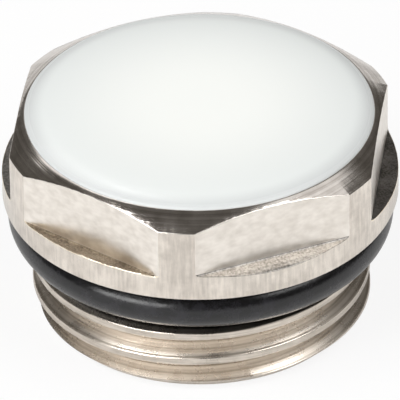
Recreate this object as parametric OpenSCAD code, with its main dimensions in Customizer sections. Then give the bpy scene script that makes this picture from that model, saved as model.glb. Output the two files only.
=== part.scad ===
// Radiator blanking plug: a nickel plated brass plug with a pipe thread, a rubber ring under
// its flange and a white cap on its hexagon head. Millimetres. The axis is Z, and the underside
// of the flange, which seats on the radiator, is at z = 0. A corner of the hexagon is at the front.

/* [Hexagon head] */
// Distance across the flats
hex_af = 22; // [21:0.1:23]
// Distance from a flat in to the flat top of the head
land_inset = 0.29; // [0.1:0.01:0.8]
// Height of the top of the head above the underside of the flange
head_h = 5.6; // [5:0.1:9]
// Height of the flange, where the flats end in a ledge
flange_h = 1.6; // [1:0.1:2.4]
// Angle of the turned chamfer on the head, from the level
head_chamfer_angle = 28; // [15:1:35]
// Radius in the corner between a flat and its ledge
ledge_r = 0.2; // [0.1:0.05:0.6]
// Reach of the flange past the rubber ring, which sets the diameter of the bar
flange_reach = 0.31; // [0.2:0.01:0.8]
// Broken edge round the underside of the flange
flange_break = 0.1; // [0.05:0.05:0.2]

/* [White cap] */
// Height of the crown above the top of the head
cap_crown_h = 0.6; // [0.3:0.05:2]
// Power of the crown's curve: 2 is a plain dome, more is flatter with a rounder edge
cap_crown_power = 5; // [2:0.5:10]
// Width of the metal rim that shows round the cap
cap_rim_w = 0.06; // [0.02:0.01:0.3]
// Diameter of the peg under the cap
peg_d = 16; // [10:0.5:17]
// Length of the peg
peg_l = 1.5; // [0.8:0.1:1.8]
// Gap between the peg and the wall of its pocket
peg_clearance = 0.05; // [0.02:0.01:0.2]
// Gap between the end of the peg and the floor of its pocket
peg_end_gap = 0.1; // [0.05:0.05:0.4]

/* [Threaded spigot] */
// Length of the spigot below the flange
spigot_l = 8; // [7:0.1:12]
// Outer diameter of the G 1/2 thread, near the low end of its tolerance
thread_d = 20.75; // [20.4:0.05:21]
// Rise of the thread in one turn, 14 turns to the inch
thread_pitch = 1.814; // [1.4:0.002:2]
// Angle between the two flanks of the groove
thread_angle = 55; // [50:1:60]
// Width of the crest
thread_crest_w = 0.35; // [0.25:0.05:0.45]
// Distance of the first full crest below the neck, at the front
first_crest_drop = 0.77; // [0.6:0.01:2]
// Size of the lead-in chamfer on the end of the thread
lead_in = 0.6; // [0.2:0.05:1]
// Depth of the neck below the root of the thread
neck_relief = 0.2; // [0.1:0.05:0.6]
// Gap between the ring and the start of the thread
ring_gap = 0.22; // [0.1:0.02:0.8]

/* [Blind bore] */
// Diameter of the bore from below
bore_d = 14; // [8:0.5:15]
// Thickness of the metal between the bore and the cap's pocket
web_t = 2; // [1:0.1:5]
// Chamfer at the mouth and at the bottom of the bore
bore_chamfer = 0.5; // [0.2:0.1:1]

/* [Rubber ring] */
// Thickness of the ring
ring_section = 2.8; // [2.4:0.05:3.2]
// Flat that the neck and the flange press into the ring
ring_squash = 0.02; // [0.01:0.01:0.1]

/* [Hidden] */
$fn = 144;
flats = 6;
overshoot = 1;

// The groove of the thread: its depth is a pipe thread's share of the pitch
depth_share = 0.64;
thread_r = thread_d / 2;
thread_depth = depth_share * thread_pitch;
root_r = thread_r - thread_depth;
root_w = thread_pitch - thread_crest_w - 2 * thread_depth * tan(thread_angle / 2);

// The ring lies on the neck, and the flange is as wide as covers it
neck_r = root_r - neck_relief;
ring_offset = ring_section / 2 - ring_squash;
ring_r = neck_r + ring_section - ring_squash;
neck_l = ring_section - ring_squash + ring_gap;
bar_r = ring_r + flange_reach;

// The groove's cutter runs on past the crest, but not as far as the next turn's cutter
cutter_r = thread_r + thread_crest_w / 3;
cutter_w = root_w + 2 * (cutter_r - root_r) * tan(thread_angle / 2);
first_crest = neck_l + first_crest_drop;
groove_start = groove_angle(-spigot_l - cutter_w / 2);
groove_end = groove_angle(-neck_l + cutter_w / 2);
degrees_per_step = 10;
groove_count = ceil((groove_end - groove_start) / degrees_per_step);

// The turned chamfer runs from the flat top out to the bar
land_r = hex_af / 2 - land_inset;
chamfer_foot_z = head_h - (bar_r - land_r) * tan(head_chamfer_angle);

cap_r = land_r - cap_rim_w;
pocket_r = peg_d / 2 + peg_clearance;
pocket_depth = peg_l + peg_end_gap;
bore_r = bore_d / 2;
bore_top = head_h - pocket_depth - web_t;
crown_steps = 18;

// Angle from the front at which the middle of the groove is at height z
function groove_angle(z) = 360 * (z + first_crest - thread_pitch / 2) / thread_pitch;

// Height of the middle of the groove at angle a from the front: it rises to the right
function groove_z(a) = thread_pitch / 2 - first_crest + thread_pitch * a / 360;

// Height of the cap's crown above the head at a share s of the cap's radius
function crown_z(s) = cap_crown_h * sqrt(1 - pow(s, cap_crown_power));

// Section of the groove cutter: its two flanks run on a little past the crest
function groove_section() = [
    [root_r, -root_w / 2],
    [cutter_r, -cutter_w / 2],
    [cutter_r, cutter_w / 2],
    [root_r, root_w / 2]
];

// The helical cutter, swept as rings of points round the axis and closed at both ends
module thread_groove() {
    section = groove_section();
    corners = len(section);
    angle_step = (groove_end - groove_start) / groove_count;
    points = [
        for (i = [0 : groove_count])
            let (a = groove_start + i * angle_step)
                for (p = section) [p[0] * sin(a), -p[0] * cos(a), p[1] + groove_z(a)]
    ];
    walls = [
        for (i = [0 : groove_count - 1], k = [0 : corners - 1])
            let (
                low = i * corners + k,
                low_next = i * corners + (k + 1) % corners
            )
                each [
                    [low, low_next + corners, low + corners],
                    [low, low_next, low_next + corners]
                ]
    ];
    first_end = [for (k = [corners - 1 : -1 : 0]) k];
    last_end = [for (k = [0 : corners - 1]) groove_count * corners + k];
    polyhedron(points, concat(walls, [first_end, last_end]), convexity = 10);
}

// Everything that is turned on the outside, before the flats and the thread are cut
module turned_blank() {
    rotate_extrude() polygon([
        [0, -spigot_l],
        [thread_r - lead_in, -spigot_l],
        [thread_r, -spigot_l + lead_in],
        [thread_r, -neck_l],
        [neck_r, -neck_l],
        [neck_r, 0],
        [bar_r - flange_break, 0],
        [bar_r, flange_break],
        [bar_r, chamfer_foot_z],
        [land_r, head_h],
        [0, head_h]
    ]);
}

// What the mill takes off for one flat, down to a ledge with a small corner radius
module flat_cut() {
    flat_x = hex_af / 2;
    translate([flat_x, -bar_r, flange_h + ledge_r])
        cube([bar_r, 2 * bar_r, head_h]);
    translate([flat_x + ledge_r, -bar_r, flange_h])
        cube([bar_r, 2 * bar_r, head_h]);
    translate([flat_x + ledge_r, 0, flange_h + ledge_r])
        rotate([90, 0, 0])
            cylinder(r = ledge_r, h = 2 * bar_r, center = true);
}

module blind_bore() {
    rotate_extrude() polygon([
        [0, -spigot_l - overshoot],
        [bore_r + bore_chamfer, -spigot_l - overshoot],
        [bore_r + bore_chamfer, -spigot_l],
        [bore_r, -spigot_l + bore_chamfer],
        [bore_r, bore_top - bore_chamfer],
        [bore_r - bore_chamfer, bore_top],
        [0, bore_top]
    ]);
}

module cap_pocket() {
    translate([0, 0, head_h - pocket_depth])
        cylinder(r = pocket_r, h = pocket_depth + overshoot);
}

module plug_body() {
    color("gainsboro")
        difference() {
            turned_blank();
            for (i = [0 : flats - 1])
                rotate(i * 360 / flats)
                    flat_cut();
            thread_groove();
            blind_bore();
            cap_pocket();
        }
}

// Sits in the corner of the neck and the flange, a little flattened where it touches them
module o_ring() {
    color("#26262a")
        rotate_extrude()
            intersection() {
                translate([neck_r + ring_offset, -ring_offset])
                    circle(d = ring_section);
                translate([neck_r, -ring_section])
                    square(ring_section);
            }
}

module white_cap() {
    color("white")
        rotate_extrude() polygon(concat(
            [
                [0, head_h - peg_l],
                [peg_d / 2, head_h - peg_l],
                [peg_d / 2, head_h]
            ],
            [
                for (i = [0 : crown_steps])
                    let (s = sin(90 - 90 * i / crown_steps))
                        [cap_r * s, head_h + crown_z(s)]
            ]
        ));
}

plug_body();
o_ring();
white_cap();
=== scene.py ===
import math

import bmesh
import bpy
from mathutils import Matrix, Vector, noise


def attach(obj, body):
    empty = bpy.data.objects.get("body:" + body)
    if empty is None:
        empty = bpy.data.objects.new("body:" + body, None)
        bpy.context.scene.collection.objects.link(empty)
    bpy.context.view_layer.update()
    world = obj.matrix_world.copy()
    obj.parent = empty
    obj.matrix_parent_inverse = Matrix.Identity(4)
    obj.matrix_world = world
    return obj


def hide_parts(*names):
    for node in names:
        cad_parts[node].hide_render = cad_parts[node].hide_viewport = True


# Radiator blanking plug, stood on its threaded end on a white table and seen from above.
# The sizes are in millimetres and MM turns them to metres. They are those of the part's source,
# apart from the ledge's corner, the crest's width and height and the lead-in, which follow the
# photo.
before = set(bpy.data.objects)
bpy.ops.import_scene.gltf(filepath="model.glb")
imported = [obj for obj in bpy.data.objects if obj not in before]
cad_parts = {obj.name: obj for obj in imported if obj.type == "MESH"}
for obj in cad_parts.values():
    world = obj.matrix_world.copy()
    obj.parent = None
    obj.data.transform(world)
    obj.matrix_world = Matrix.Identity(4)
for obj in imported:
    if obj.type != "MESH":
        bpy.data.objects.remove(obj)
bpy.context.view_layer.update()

MM = 0.001

# How finely the turned pieces are divided, and the angle up to which they are shaded smooth
BODY_COLUMNS = 720
THREAD_COLUMNS = 360
BORE_COLUMNS = 180
RING_COLUMNS = 240
RING_ROWS = 72
CAP_COLUMNS = 240
SMOOTH_ANGLE = math.radians(40)

# Head, cut from round bar, and the width of its broken edges
HEX_AF = 22.0
HEAD_H = 5.6
LEDGE_R = 0.15
FLANGE_BREAK = 0.1
BROKEN_EDGE = 0.036
BAR_R = 12.104
LAND_R = 10.71
CHAMFER_FOOT_Z = 4.859
POCKET_R = 8.05
POCKET_DEPTH = 1.6

# Threaded spigot
SPIGOT_L = 8.0
THREAD_R = 10.375
THREAD_PITCH = 1.814
THREAD_DEPTH = 1.161
THREAD_ANGLE = 55.0
CREST_W = 0.45
FIRST_CREST = 3.93
LEAD_IN = 0.85
CREST_ROUNDING = 0.05
NECK_R = 9.014
NECK_L = 3.0

# Bore
BORE_R = 7.0
BORE_TOP = 2.0
BORE_CHAMFER = 0.5

# Rubber ring, and the height of its mould line
RING_SECTION = 2.8
RING_SQUASH = 0.02
MOULD_LINE_H = 0.012

# Cap
CAP_R = 10.65
CAP_CROWN_H = 0.6
CAP_CROWN_POWER = 5.0
PEG_R = 8.0
PEG_L = 1.5
PEG_CHAMFER = 0.15

# Camera, fitted to the photo: degrees, with the azimuth from the hexagon's front corner
CAMERA_AZIMUTH = 7.08
CAMERA_ELEVATION = 34.38
CAMERA_ROLL = -0.785
CAMERA_DISTANCE = 534.2
CAMERA_LENS = 786.8
CAMERA_AIM = (0.02, -0.45, -0.65)


def linear(hex_colour):
    """Turns an sRGB hex colour into linear red, green, blue and alpha."""
    parts = [int(hex_colour[i:i + 2], 16) / 255 for i in (1, 3, 5)]
    channels = [c / 12.92 if c <= 0.04045 else ((c + 0.055) / 1.055) ** 2.4 for c in parts]
    return (*channels, 1.0)


def toward(azimuth, elevation):
    """Direction from the plug, with the azimuth counted from the camera, positive to the right."""
    a, e = math.radians(CAMERA_AZIMUTH + azimuth), math.radians(elevation)
    return Vector((math.sin(a) * math.cos(e), -math.cos(a) * math.cos(e), math.sin(e)))


# Camera
camera_data = bpy.data.cameras.new("camera")
camera = bpy.data.objects.new("camera", camera_data)
bpy.context.scene.collection.objects.link(camera)
bpy.context.scene.camera = camera
camera_data.sensor_width = 36
camera_data.lens = CAMERA_LENS
camera_data.clip_start = 0.05
camera_data.clip_end = 20
camera.location = toward(0, CAMERA_ELEVATION) * CAMERA_DISTANCE * MM
aim = Vector(CAMERA_AIM) * MM
camera.rotation_euler = (aim - camera.location).to_track_quat("-Z", "Y").to_euler()
camera.rotation_euler.rotate_axis("Z", math.radians(CAMERA_ROLL))


# Mesh making

def deselect():
    """Leaves edit mode and selects nothing."""
    if bpy.context.object and bpy.context.object.mode != "OBJECT":
        bpy.ops.object.mode_set(mode="OBJECT")
    bpy.ops.object.select_all(action="DESELECT")


def only(piece):
    """Selects one piece and makes it active."""
    deselect()
    piece.select_set(True)
    bpy.context.view_layer.objects.active = piece


def turned(name, columns, rings):
    """Turns a closed piece: a disc, extruded and resized from one (radius, height) to the next."""
    deselect()
    bpy.ops.mesh.primitive_circle_add(
        vertices=columns, radius=rings[0][0] * MM, fill_type="NGON",
        location=(0, 0, rings[0][1] * MM), enter_editmode=True)
    for (r0, z0), (r1, z1) in zip(rings, rings[1:]):
        bpy.ops.mesh.extrude_region_move(TRANSFORM_OT_translate={"value": (0, 0, (z1 - z0) * MM)})
        bpy.ops.transform.resize(value=(r1 / r0, r1 / r0, 1), center_override=(0, 0, 0))
    bpy.ops.mesh.select_all(action="SELECT")
    bpy.ops.mesh.normals_make_consistent(inside=False)
    bpy.ops.object.mode_set(mode="OBJECT")
    piece = bpy.context.object
    piece.name = piece.data.name = name
    settle(piece)
    return piece


def settle(piece):
    """Puts a piece's place into its mesh."""
    only(piece)
    bpy.ops.object.transform_apply(location=True, rotation=True, scale=True)


def modify(piece, kind, **settings):
    """Adds a modifier and applies it."""
    only(piece)
    modifier = piece.modifiers.new(kind.lower(), kind)
    for key, value in settings.items():
        setattr(modifier, key, value)
    bpy.ops.object.modifier_apply(modifier=modifier.name)


def pick(kind, wanted):
    """In edit mode, selects only the verts, edges or faces that are wanted."""
    bpy.ops.mesh.select_mode(type=kind)
    bpy.ops.mesh.select_all(action="DESELECT")
    mesh = bmesh.from_edit_mesh(bpy.context.object.data)
    for element in {"VERT": mesh.verts, "EDGE": mesh.edges, "FACE": mesh.faces}[kind]:
        if wanted(element):
            element.select_set(True)
    bmesh.update_edit_mesh(bpy.context.object.data)


def cut(piece, tool, operation="DIFFERENCE"):
    """Takes a tool's shape off a piece, or joins or intersects them, and removes the tool."""
    modify(piece, "BOOLEAN", object=tool, operation=operation, solver="MANIFOLD")
    bpy.data.objects.remove(tool, do_unlink=True)


# Plug body

THREAD_TURNS = 5
ROUNDING_STEPS = 3


def threaded_rod():
    """The screwed end: one pitch of the thread's outline, swept up a helix and cut off square."""
    # The sweep starts at +X, a quarter of a turn past the front, low enough to run past both ends
    crest_z = -FIRST_CREST + THREAD_PITCH / 4 - (THREAD_TURNS - 1) * THREAD_PITCH
    flank = THREAD_DEPTH * math.tan(math.radians(THREAD_ANGLE / 2))
    root_r = THREAD_R - THREAD_DEPTH
    outline = [
        (root_r, crest_z - THREAD_PITCH / 2),
        (root_r, crest_z - CREST_W / 2 - flank),
        (THREAD_R, crest_z - CREST_W / 2),
        (THREAD_R, crest_z + CREST_W / 2),
        (root_r, crest_z + CREST_W / 2 + flank),
        (root_r, crest_z + THREAD_PITCH / 2),
    ]
    deselect()
    bpy.ops.mesh.primitive_plane_add(size=MM, enter_editmode=True)
    bpy.ops.mesh.select_mode(type="VERT")
    bpy.ops.mesh.merge(type="CENTER")
    bpy.ops.transform.translate(value=(outline[0][0] * MM, 0, outline[0][1] * MM))
    for (r0, z0), (r1, z1) in zip(outline, outline[1:]):
        bpy.ops.mesh.extrude_region_move(
            TRANSFORM_OT_translate={"value": ((r1 - r0) * MM, 0, (z1 - z0) * MM)})
    pick("VERT", lambda vert: len(vert.link_edges) == 2)
    bpy.ops.mesh.bevel(offset=CREST_ROUNDING * MM, segments=ROUNDING_STEPS, affect="VERTICES")
    bpy.ops.object.mode_set(mode="OBJECT")
    rod = bpy.context.object
    settle(rod)
    modify(rod, "SCREW", steps=THREAD_COLUMNS, render_steps=THREAD_COLUMNS,
           iterations=THREAD_TURNS, screw_offset=THREAD_PITCH * MM, use_smooth_shade=True)
    bpy.ops.object.mode_set(mode="EDIT")
    bpy.ops.mesh.select_all(action="SELECT")
    bpy.ops.mesh.remove_doubles(threshold=0.002 * MM)
    bpy.ops.mesh.bisect(plane_co=(0, 0, -SPIGOT_L * MM), plane_no=(0, 0, 1),
                        use_fill=True, clear_inner=True, threshold=0.0001 * MM)
    bpy.ops.mesh.select_all(action="SELECT")
    bpy.ops.mesh.bisect(plane_co=(0, 0, -NECK_L * MM), plane_no=(0, 0, 1),
                        use_fill=True, clear_outer=True, threshold=0.0001 * MM)
    bpy.ops.mesh.select_all(action="SELECT")
    bpy.ops.mesh.normals_make_consistent(inside=False)
    bpy.ops.object.mode_set(mode="OBJECT")
    settle(rod)
    cut(rod, turned("lead_in_tool", THREAD_COLUMNS, [
        (THREAD_R - LEAD_IN - 1, -SPIGOT_L - 1),
        (THREAD_R + 1, -SPIGOT_L + LEAD_IN + 1),
        (THREAD_R + 1, 0),
    ]), "INTERSECT")
    return rod


# The six flats as they were milled: direction of the flat from +X, height of its ledge at the foot,
# slope of the ledge at the foot and at the rim, because the blank never sat quite level, and height
# of the burr on its rim. The right front ledge, at 300, slopes down and has hardly any burr
MILLED_FLATS = [
    (0, 1.60, -0.10, -0.24, 0.06),
    (60, 1.63, 0.05, 0.0, 0.08),
    (120, 1.58, -0.04, -0.04, 0.08),
    (180, 1.62, -0.10, -0.20, 0.06),
    (240, 1.50, 0.22, 0.18, 0.11),
    (300, 1.76, 0.02, -0.46, 0.01),
]
THIN_LEDGE = 240
PITTED_LEDGE = 300
LEDGE_REACH = 1.2
CORNER_STEPS = 6
SLOPE_STEPS = 4
FAR = 9.0


def outward(turn):
    """The level direction that a flat faces."""
    return Vector((math.cos(math.radians(turn)), math.sin(math.radians(turn)), 0))


def ledge_height(flat, past_flat):
    """Height of a ledge at a distance out from its flat."""
    foot_z, foot_slope, rim_slope = flat[1:4]
    bend = (rim_slope - foot_slope) / (2 * LEDGE_REACH)
    corner = LEDGE_R - math.sqrt(max(0.0, LEDGE_R ** 2 - max(0.0, LEDGE_R - past_flat) ** 2))
    return foot_z + foot_slope * past_flat + bend * past_flat ** 2 + corner


def flat_cutter(flat):
    """The block of metal that the mill takes off for one flat: a face, extruded outward in steps
    while its lower edge follows the ledge."""
    top_z = HEAD_H + 1
    steps = [LEDGE_R * (1 - math.cos(math.radians(90 * i / CORNER_STEPS)))
             for i in range(CORNER_STEPS + 1)]
    steps += [LEDGE_R + (LEDGE_REACH - LEDGE_R) * i / SLOPE_STEPS
              for i in range(1, SLOPE_STEPS + 1)] + [2.0]
    heights = [top_z - ledge_height(flat, d) for d in steps]
    deselect()
    bpy.ops.mesh.primitive_plane_add(
        size=1, location=(HEX_AF / 2 * MM, 0, (top_z - heights[0] / 2) * MM),
        rotation=(0, math.radians(90), 0))
    tool = bpy.context.object
    tool.scale = (heights[0] * MM, 2 * BAR_R * MM, 1)
    settle(tool)
    bpy.ops.object.mode_set(mode="EDIT")
    bpy.ops.mesh.select_all(action="SELECT")
    for d0, d1, h0, h1 in zip(steps, steps[1:], heights, heights[1:]):
        bpy.ops.mesh.extrude_region_move()
        bpy.ops.transform.translate(value=((d1 - d0) * MM, 0, 0), orient_type="GLOBAL")
        bpy.ops.transform.resize(value=(1, 1, h1 / h0), center_override=(0, 0, top_z * MM))
    bpy.ops.mesh.select_all(action="SELECT")
    bpy.ops.mesh.normals_make_consistent(inside=False)
    bpy.ops.object.mode_set(mode="OBJECT")
    tool.rotation_euler.z = math.radians(flat[0])
    settle(tool)
    return tool


def nearest_flat(place):
    """The row of the flat whose sixth of the head a place lies in."""
    return MILLED_FLATS[round(math.degrees(math.atan2(place.y, place.x)) / 60) % 6]


def head_depths(place):
    """How deep a place of the head lies under the bar's side, chamfer, flat and ledge."""
    flat = nearest_flat(place)
    r = place.xy.length
    past_flat = place.dot(outward(flat[0])) - HEX_AF / 2
    slope = (HEAD_H - CHAMFER_FOOT_Z) / (BAR_R - LAND_R)
    above_ledge = place.z - ledge_height(flat, max(0.0, past_flat))
    return {
        "side": BAR_R - r,
        "chamfer": (HEAD_H - (r - LAND_R) * slope - place.z) / math.hypot(1, slope),
        "flat": -past_flat if above_ledge > -0.01 else FAR,
        "ledge": -above_ledge if past_flat > -0.01 else FAR,
    }


def is_sharp_head_edge(edge):
    """True for the edges of the head that a tool left sharp."""
    if len(edge.link_faces) != 2 or edge.calc_face_angle() < math.radians(20):
        return False
    return all(v.co.z > -0.05 * MM and v.co.xy.length > 10 * MM for v in edge.verts)


def is_milled_flat(face):
    """True for the faces that lie in the plane of a flat."""
    place = face.calc_center_median() / MM
    return place.z > 0 and place.xy.length > LAND_R and abs(head_depths(place)["flat"]) < 0.002


# What lies this near a surface of the head belongs to its edge, and nearer still to the surface
NEAR_EDGE = 0.06
ON_SURFACE = 0.003
NICK_DEPTH = 0.004


def raise_burrs(piece):
    """Moves the middle of each broken edge: small nicks, and a burr standing up along the ledges."""
    for vert in piece.data.vertices:
        place = vert.co / MM
        if place.z < 0.3 or place.xy.length < LAND_R + 0.1:
            continue
        depths = head_depths(place)
        if min(abs(d) for d in depths.values()) < ON_SURFACE:
            continue
        if abs(depths["ledge"]) < NEAR_EDGE and depths["side"] < NEAR_EDGE:
            torn = max(0.0, noise.noise(place * 2.5) + 0.5 * noise.noise(place * 8.0))
            place.z += nearest_flat(place)[4] * (0.4 + torn)
        elif abs(depths["flat"]) < NEAR_EDGE or abs(depths["chamfer"]) < NEAR_EDGE:
            nick = Vector((place.x / 12, place.y / 12, 0.7))
            place += NICK_DEPTH * noise.noise(place * 6.0) * nick
        stray = min(1.0, BAR_R / place.xy.length)
        vert.co = Vector((place.x * stray, place.y * stray, place.z)) * MM
    piece.data.update()


body = turned("plug_body_nickel", BODY_COLUMNS, [
    (POCKET_R, HEAD_H - POCKET_DEPTH),
    (POCKET_R, HEAD_H),
    (LAND_R, HEAD_H),
    (BAR_R, CHAMFER_FOOT_Z),
    (BAR_R, FLANGE_BREAK),
    (BAR_R - FLANGE_BREAK, 0),
    (NECK_R, 0),
    (NECK_R, -NECK_L - 2),
])
cut(body, threaded_rod(), "UNION")
cut(body, turned("bore_tool", BORE_COLUMNS, [
    (BORE_R + BORE_CHAMFER, -SPIGOT_L - 1),
    (BORE_R + BORE_CHAMFER, -SPIGOT_L),
    (BORE_R, -SPIGOT_L + BORE_CHAMFER),
    (BORE_R, BORE_TOP - BORE_CHAMFER),
    (BORE_R - BORE_CHAMFER, BORE_TOP),
]))
for flat in MILLED_FLATS:
    cut(body, flat_cutter(flat))
only(body)
bpy.ops.object.mode_set(mode="EDIT")
# The cuts leave hair-thin edges where they cross older ones
bpy.ops.mesh.select_all(action="SELECT")
bpy.ops.mesh.dissolve_degenerate(threshold=0.001 * MM)
pick("EDGE", is_sharp_head_edge)
bpy.ops.mesh.bevel(offset=BROKEN_EDGE * MM, segments=ROUNDING_STEPS, affect="EDGES",
                   clamp_overlap=False)
bpy.ops.object.mode_set(mode="OBJECT")
raise_burrs(body)
bpy.ops.object.shade_smooth_by_angle(angle=SMOOTH_ANGLE)
bpy.ops.object.mode_set(mode="EDIT")
pick("FACE", is_milled_flat)
bpy.ops.mesh.faces_shade_flat()
bpy.ops.mesh.poke()
bpy.ops.object.mode_set(mode="OBJECT")
modify(body, "WEIGHTED_NORMAL", keep_sharp=True, weight=100)


def rubber_ring():
    """The ring, a little flat against the neck and the flange, with a faint mould line."""
    middle_r = NECK_R + RING_SECTION / 2 - RING_SQUASH
    middle_z = -RING_SECTION / 2 + RING_SQUASH
    deselect()
    bpy.ops.mesh.primitive_torus_add(
        major_radius=middle_r * MM, minor_radius=RING_SECTION / 2 * MM,
        major_segments=RING_COLUMNS, minor_segments=RING_ROWS, location=(0, 0, middle_z * MM))
    ring = bpy.context.object
    ring.name = ring.data.name = "o_ring_rubber"
    settle(ring)
    for vert in ring.data.vertices:
        place = vert.co / MM
        r = place.xy.length
        around = math.atan2(place.z - middle_z, r - middle_r)
        seam = math.exp(-(around / 0.05) ** 2) * MOULD_LINE_H
        new_r = max(NECK_R, r + seam)
        vert.co = Vector((place.x * new_r / r, place.y * new_r / r, min(0.0, place.z))) * MM
    bpy.ops.object.shade_smooth()
    return ring


ring = rubber_ring()


def crown(share):
    """Height of the cap's crown above the head at a share of the cap's radius."""
    return CAP_CROWN_H * math.sqrt(max(0.0, 1 - share ** CAP_CROWN_POWER))


# White cap: a low crown with a soft edge, and the peg that holds it in its pocket
CROWN_STEPS = 40
crown_shares = [math.sin(math.radians(90 - 90 * i / CROWN_STEPS)) for i in range(CROWN_STEPS)]
cap = turned("white_cap_plastic", CAP_COLUMNS, [
    (PEG_R - PEG_CHAMFER, HEAD_H - PEG_L),
    (PEG_R, HEAD_H - PEG_L + PEG_CHAMFER),
    (PEG_R, HEAD_H),
] + [(CAP_R * share, HEAD_H + crown(share)) for share in crown_shares])
bpy.ops.object.shade_smooth_by_angle(angle=SMOOTH_ANGLE)


# Materials

def add(tree, kind, values=None, links=None):
    """Adds a node, sets its options and sockets, and links its inputs to other nodes' outputs."""
    node = tree.nodes.new(kind)
    for name, value in (values or {}).items():
        if isinstance(name, str) and hasattr(node, name):
            setattr(node, name, value)
        else:
            node.inputs[name].default_value = value
    for name, output in (links or {}).items():
        tree.links.new(output, node.inputs[name])
    return node


def new_material(name):
    """An empty material, its node tree and the output that gives object coordinates."""
    material = bpy.data.materials.new(name)
    material.use_nodes = True
    tree = material.node_tree
    tree.nodes.clear()
    place = add(tree, "ShaderNodeTexCoord").outputs["Object"]
    return material, tree, place


def finish_material(tree, shader):
    """Makes a shader the material's surface."""
    add(tree, "ShaderNodeOutputMaterial", links={"Surface": shader.outputs[0]})


# How far below the neck the painted shade next to the ring ends, and where it is full
RING_SHADE_ENDS = 0.85
RING_SHADE_FULL = 0.35


def nickel(name, light, dark, roughness, stretch, bump_mm, swirl=False, painted_ring_shade=None, cloudy=0.45):
    """Nickel plate over brass. The marks of the tool run along the axes where stretch is small,
    and with swirl the first of them is the distance from the plug's axis."""
    material, tree, place = new_material(name)
    marks_from = place
    if swirl:
        split = add(tree, "ShaderNodeSeparateXYZ", links={0: place})
        level = add(tree, "ShaderNodeCombineXYZ",
                    links={0: split.outputs[0], 1: split.outputs[1]})
        radius = add(tree, "ShaderNodeVectorMath", {"operation": "LENGTH"}, {0: level.outputs[0]})
        marks_from = add(tree, "ShaderNodeCombineXYZ",
                         links={0: radius.outputs["Value"], 2: split.outputs[2]}).outputs[0]
    marks_place = add(tree, "ShaderNodeMapping", {"Scale": stretch}, {"Vector": marks_from})
    marks = add(tree, "ShaderNodeTexNoise", {"Scale": 1.0, "Detail": 1.5, "Roughness": 0.6},
                {"Vector": marks_place.outputs[0]})
    # Clouds about 1.5 mm across, where the plate is thicker or has been handled
    clouds = add(tree, "ShaderNodeTexNoise", {"Scale": 700.0, "Detail": 4.0, "Roughness": 0.6},
                 {"Vector": place})
    mixed = add(tree, "ShaderNodeMix", {"data_type": "FLOAT", 0: cloudy},
                {2: marks.outputs[0], 3: clouds.outputs[0]})
    tone = add(tree, "ShaderNodeMapRange", {1: 0.36, 2: 0.62}, {0: mixed.outputs[0]})
    colour = add(tree, "ShaderNodeMix",
                 {"data_type": "RGBA", 6: linear(dark), 7: linear(light)},
                 {0: tone.outputs[0]})
    # Painted shade: the flank darkens toward the ring, where the ring shadows it
    if painted_ring_shade:
        near_ring = add(tree, "ShaderNodeMapRange", {
            "interpolation_type": "SMOOTHSTEP",
            1: (-NECK_L - RING_SHADE_ENDS) * MM, 2: (-NECK_L - RING_SHADE_FULL) * MM},
            {0: split.outputs[2]})
        colour = add(tree, "ShaderNodeMix", {"data_type": "RGBA", 7: linear(painted_ring_shade)},
                     {0: near_ring.outputs[0], 6: colour.outputs[2]})
    # The spread stays small, so that no patch looks wet beside its neighbour
    rough = add(tree, "ShaderNodeMapRange",
                {1: 0.3, 2: 0.7, 3: roughness * 0.9, 4: roughness * 1.15},
                {0: clouds.outputs[0]})
    bump = add(tree, "ShaderNodeBump", {"Strength": 1.0, "Distance": bump_mm * MM},
               {"Height": marks.outputs[0]})
    shader = add(tree, "ShaderNodeBsdfPrincipled", {"Metallic": 1.0}, {
        "Base Color": colour.outputs[2], "Roughness": rough.outputs[0], "Normal": bump.outputs[0]})
    finish_material(tree, shader)
    return material


SURFACES = {
    # Drawn bar: a soft sheen with faint lines along the bar. The real ones are finer, and these
    # are 0.2 mm apart so that they show
    "side": nickel("drawn_bar_nickel_plate", "#E8E0D6", "#C6BEB5", 0.235, (5000, 5000, 600), 0.004,
                   cloudy=0.6),
    # Turned chamfer: the shiniest metal, with rings drawn coarse, 0.15 mm apart, so that they show
    "chamfer": nickel("turned_nickel_plate", "#E3DDD7", "#B9B2AB", 0.16, (7000, 7000, 1000), 0.008,
                      swirl=True),
    # Milled flats: bright and satin, with soft cloudy cutter marks about 0.7 mm across
    "flat": nickel("milled_nickel_plate", "#F3EDE5", "#DFD8CF", 0.315, (1500, 1500, 2500), 0.003),
    # Ledges: dark and rough where the end of the mill dragged, in marks 0.13 mm wide
    "ledge": nickel("rough_milled_nickel_plate", "#A29E9A", "#5E5A56", 0.36, (8000, 8000, 3000),
                    0.012),
    # Left front ledge: the plate is thin there, and the warm brass shows through
    "thin ledge": nickel("thin_nickel_on_brass", "#B2A592", "#6C5F50", 0.36, (8000, 8000, 3000),
                         0.012),
    # Right front ledge: brighter, with fine pits about 0.15 mm across
    "pitted ledge": nickel("pitted_nickel_plate", "#B7B3AE", "#75716C", 0.36, (7000, 7000, 7000),
                           0.010),
    # Burr along the rim of each ledge: bright metal, torn up by the mill, so it glitters
    "burr": nickel("torn_up_nickel_burr", "#FFF6E6", "#E6D8C0", 0.28, (3000, 3000, 3000), 0.004),
    # Crest of the thread: what is left of the turned bar, a pale line with rings 0.1 mm apart
    "crest": nickel("thread_crest_nickel_plate", "#DDD4C9", "#B7AEA3", 0.28, (400, 400, 9000),
                    0.004),
    # Flanks of the thread: warmer and duller, with lines of the threading tool that run round
    # them about 0.2 mm apart, and darker next to the ring in a painted shade for the ring's shadow
    "flank": nickel("screw_cut_nickel_plate", "#EDE4D9", "#B4A99B", 0.27, (5500, 5500, 100), 0.02,
                    swirl=True, painted_ring_shade="#5C554E", cloudy=0.15),
    # Neck under the ring: matt, and dark in a painted shade for the shadow of the ring
    "neck": nickel("painted_shade_neck_nickel_plate", "#5C554E", "#37322D", 0.5, (2000, 2000, 2000),
                   0.004),
}


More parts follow.
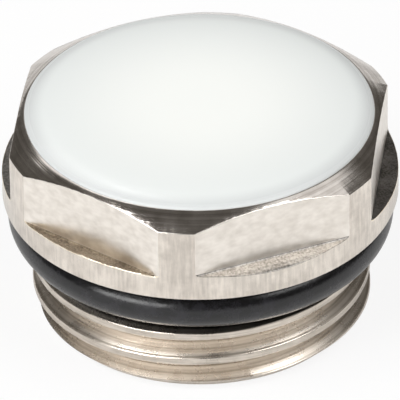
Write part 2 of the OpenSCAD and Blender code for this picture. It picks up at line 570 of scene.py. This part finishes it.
def surface_of(face):
    """Names the surface of the plug that a face belongs to."""
    place = face.center / MM
    if place.z < 0.01:
        upright = abs(face.normal.z) < 0.35 and place.xy.length > THREAD_R - 0.1
        if upright and place.z > -SPIGOT_L + LEAD_IN:
            return "crest"
        return "neck" if place.z > -NECK_L - 0.01 else "flank"
    depths = head_depths(place)
    turn = nearest_flat(place)[0]
    if turn != PITTED_LEDGE and abs(depths["ledge"]) < 0.2 and abs(depths["side"]) < 0.045:
        return "burr"
    if abs(depths["ledge"]) < 0.04 and face.normal.z > 0.3:
        return {THIN_LEDGE: "thin ledge", PITTED_LEDGE: "pitted ledge"}.get(turn, "ledge")
    return min(("side", "chamfer", "flat"), key=lambda name: abs(depths[name]))


body.data.materials.clear()
for material in SURFACES.values():
    body.data.materials.append(material)
for face in body.data.polygons:
    face.material_index = list(SURFACES).index(surface_of(face))

# Black nitrile rubber: moulded and a little shiny, with a dusty bloom and a grain drawn coarse,
# 0.15 mm, so that it shows
rubber, tree, place = new_material("moulded_nitrile_rubber")
bloom = add(tree, "ShaderNodeTexNoise", {"Scale": 900.0, "Detail": 6.0, "Roughness": 0.7},
            {"Vector": place})
grain = add(tree, "ShaderNodeTexNoise", {"Scale": 6000.0, "Detail": 2.0}, {"Vector": place})
shade = add(tree, "ShaderNodeMapRange", {1: 0.45, 2: 0.75}, {0: bloom.outputs[0]})
shade_colour = add(tree, "ShaderNodeMix",
                   {"data_type": "RGBA", 6: linear("#0B0B0D"), 7: linear("#232228")},
                   {0: shade.outputs[0]})
dull = add(tree, "ShaderNodeMapRange", {1: 0.3, 2: 0.7, 3: 0.17, 4: 0.34}, {0: bloom.outputs[0]})
skin = add(tree, "ShaderNodeBump", {"Strength": 1.0, "Distance": 0.006 * MM},
           {"Height": grain.outputs[0]})
finish_material(tree, add(tree, "ShaderNodeBsdfPrincipled", {"IOR": 1.52}, {
    "Base Color": shade_colour.outputs[2], "Roughness": dull.outputs[0],
    "Normal": skin.outputs[0]}))

# White ABS: a glossy moulding with a slight ripple about 4 mm long, duller toward its rounded
# edge, and greyer toward it in a painted shade
plastic, tree, place = new_material("glossy_white_abs")
ripple = add(tree, "ShaderNodeTexNoise", {"Scale": 220.0, "Detail": 2.0}, {"Vector": place})
level = add(tree, "ShaderNodeVectorMath", {"operation": "MULTIPLY", 1: (1, 1, 0)}, {0: place})
reach = add(tree, "ShaderNodeVectorMath", {"operation": "LENGTH"}, {0: level.outputs[0]})
# Painted shade: the cap greys from the middle toward the rim
to_rim = add(tree, "ShaderNodeMapRange",
             {"interpolation_type": "SMOOTHSTEP", 1: 2.0 * MM, 2: 11.5 * MM},
             {0: reach.outputs["Value"]})
cap_painted_shade = add(tree, "ShaderNodeMix",
           {"data_type": "RGBA", 6: linear("#F6F8F5"), 7: linear("#E4E8E7")},
           {0: to_rim.outputs[0]})
# Painted shade: greyer again near the rounded edge
near_edge = add(tree, "ShaderNodeMapRange",
                {"interpolation_type": "SMOOTHSTEP", 1: 9.4 * MM, 2: CAP_R * MM},
                {0: reach.outputs["Value"]})
cap_rim_painted_shade = add(tree, "ShaderNodeMix", {"data_type": "RGBA", 7: linear("#CFD2D2")},
                {0: near_edge.outputs[0], 6: cap_painted_shade.outputs[2]})
edge_rough = add(tree, "ShaderNodeMapRange", {1: 10.2 * MM, 2: 10.6 * MM, 3: 0.18, 4: 0.42},
                 {0: reach.outputs["Value"]})
wave = add(tree, "ShaderNodeBump", {"Strength": 1.0, "Distance": 0.02 * MM},
           {"Height": ripple.outputs[0]})
finish_material(tree, add(tree, "ShaderNodeBsdfPrincipled", {"IOR": 1.5}, {
    "Base Color": cap_rim_painted_shade.outputs[2], "Roughness": edge_rough.outputs[0],
    "Normal": wave.outputs[0]}))

for piece, material, node, slot in (
        (body, None, "plug_body", "nickel_plate"),
        (ring, rubber, "o_ring", "black_rubber"),
        (cap, plastic, "white_cap", "white_plastic")):
    if material:
        piece.data.materials.clear()
        piece.data.materials.append(material)
    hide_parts(node)
    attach(piece, "root")


# Table: white to the camera, a little bright in mirror-like surfaces, and plain matt to all else,
# so that it keeps the shadow
SEEN_SHARE = 0.85
MIRRORED_SHARE = 0.2
deselect()
bpy.ops.mesh.primitive_plane_add(size=6, location=(0, 0, -SPIGOT_L * MM))
table = bpy.context.object
table.name = "table"
white_table, tree, place = new_material("white_table")
rays = add(tree, "ShaderNodeLightPath")
mirrored = add(tree, "ShaderNodeMath", {"operation": "MAXIMUM"},
               {0: rays.outputs["Is Glossy Ray"], 1: rays.outputs["Is Transmission Ray"]})
seen_part = add(tree, "ShaderNodeMath", {"operation": "MULTIPLY", 1: SEEN_SHARE},
                {0: rays.outputs["Is Camera Ray"]})
mirrored_part = add(tree, "ShaderNodeMath", {"operation": "MULTIPLY", 1: MIRRORED_SHARE},
                    {0: mirrored.outputs[0]})
share = add(tree, "ShaderNodeMath", {"operation": "MAXIMUM"},
            {0: seen_part.outputs[0], 1: mirrored_part.outputs[0]})
matt = add(tree, "ShaderNodeBsdfDiffuse", {"Color": linear("#F4F4F4")})
bright = add(tree, "ShaderNodeEmission", {"Color": (1, 1, 1, 1), "Strength": 1.0})
finish_material(tree, add(tree, "ShaderNodeMixShader", links={
    0: share.outputs[0], 1: matt.outputs[0], 2: bright.outputs[0]}))
table.data.materials.append(white_table)

# Studio: a dim room with soft boxes
world = bpy.data.worlds.new("dim_studio")
bpy.context.scene.world = world
world.use_nodes = True
background = world.node_tree.nodes["Background"]
background.inputs["Color"].default_value = linear("#5D5A56")
background.inputs["Strength"].default_value = 1.0

# Soft boxes: name, azimuth and elevation from the camera's side, width, height and watts
LAMP_DISTANCE = 0.8
SOFT_BOXES = [
    ("left_box", -52, 54, 0.46, 0.36, 3.75),
    ("left_low_box", -40, 14, 0.56, 0.22, 2.7),
    ("right_box", 57, 48, 0.42, 0.56, 2.85),
    ("back_left_box", -150, 52, 0.34, 0.34, 0.55),
    ("back_right_box", 105, 60, 0.50, 0.34, 0.48),
    ("back_box", 180, 30, 0.30, 0.30, 0.05),
    ("back_low_box", -172, 5, 1.00, 0.12, 0.28),
    ("cap_glint_box", -167.5, 54, 0.06, 0.08, 0.06),
]
for name, azimuth, elevation, width, height, watts in SOFT_BOXES:
    data = bpy.data.lights.new(name, "AREA")
    data.shape = "RECTANGLE"
    data.size, data.size_y, data.energy = width, height, watts
    lamp = bpy.data.objects.new(name, data)
    bpy.context.scene.collection.objects.link(lamp)
    lamp.location = toward(azimuth, elevation) * LAMP_DISTANCE
    lamp.rotation_euler = (-lamp.location).to_track_quat("-Z", "Y").to_euler()

bpy.context.scene.view_settings.view_transform = "Standard"
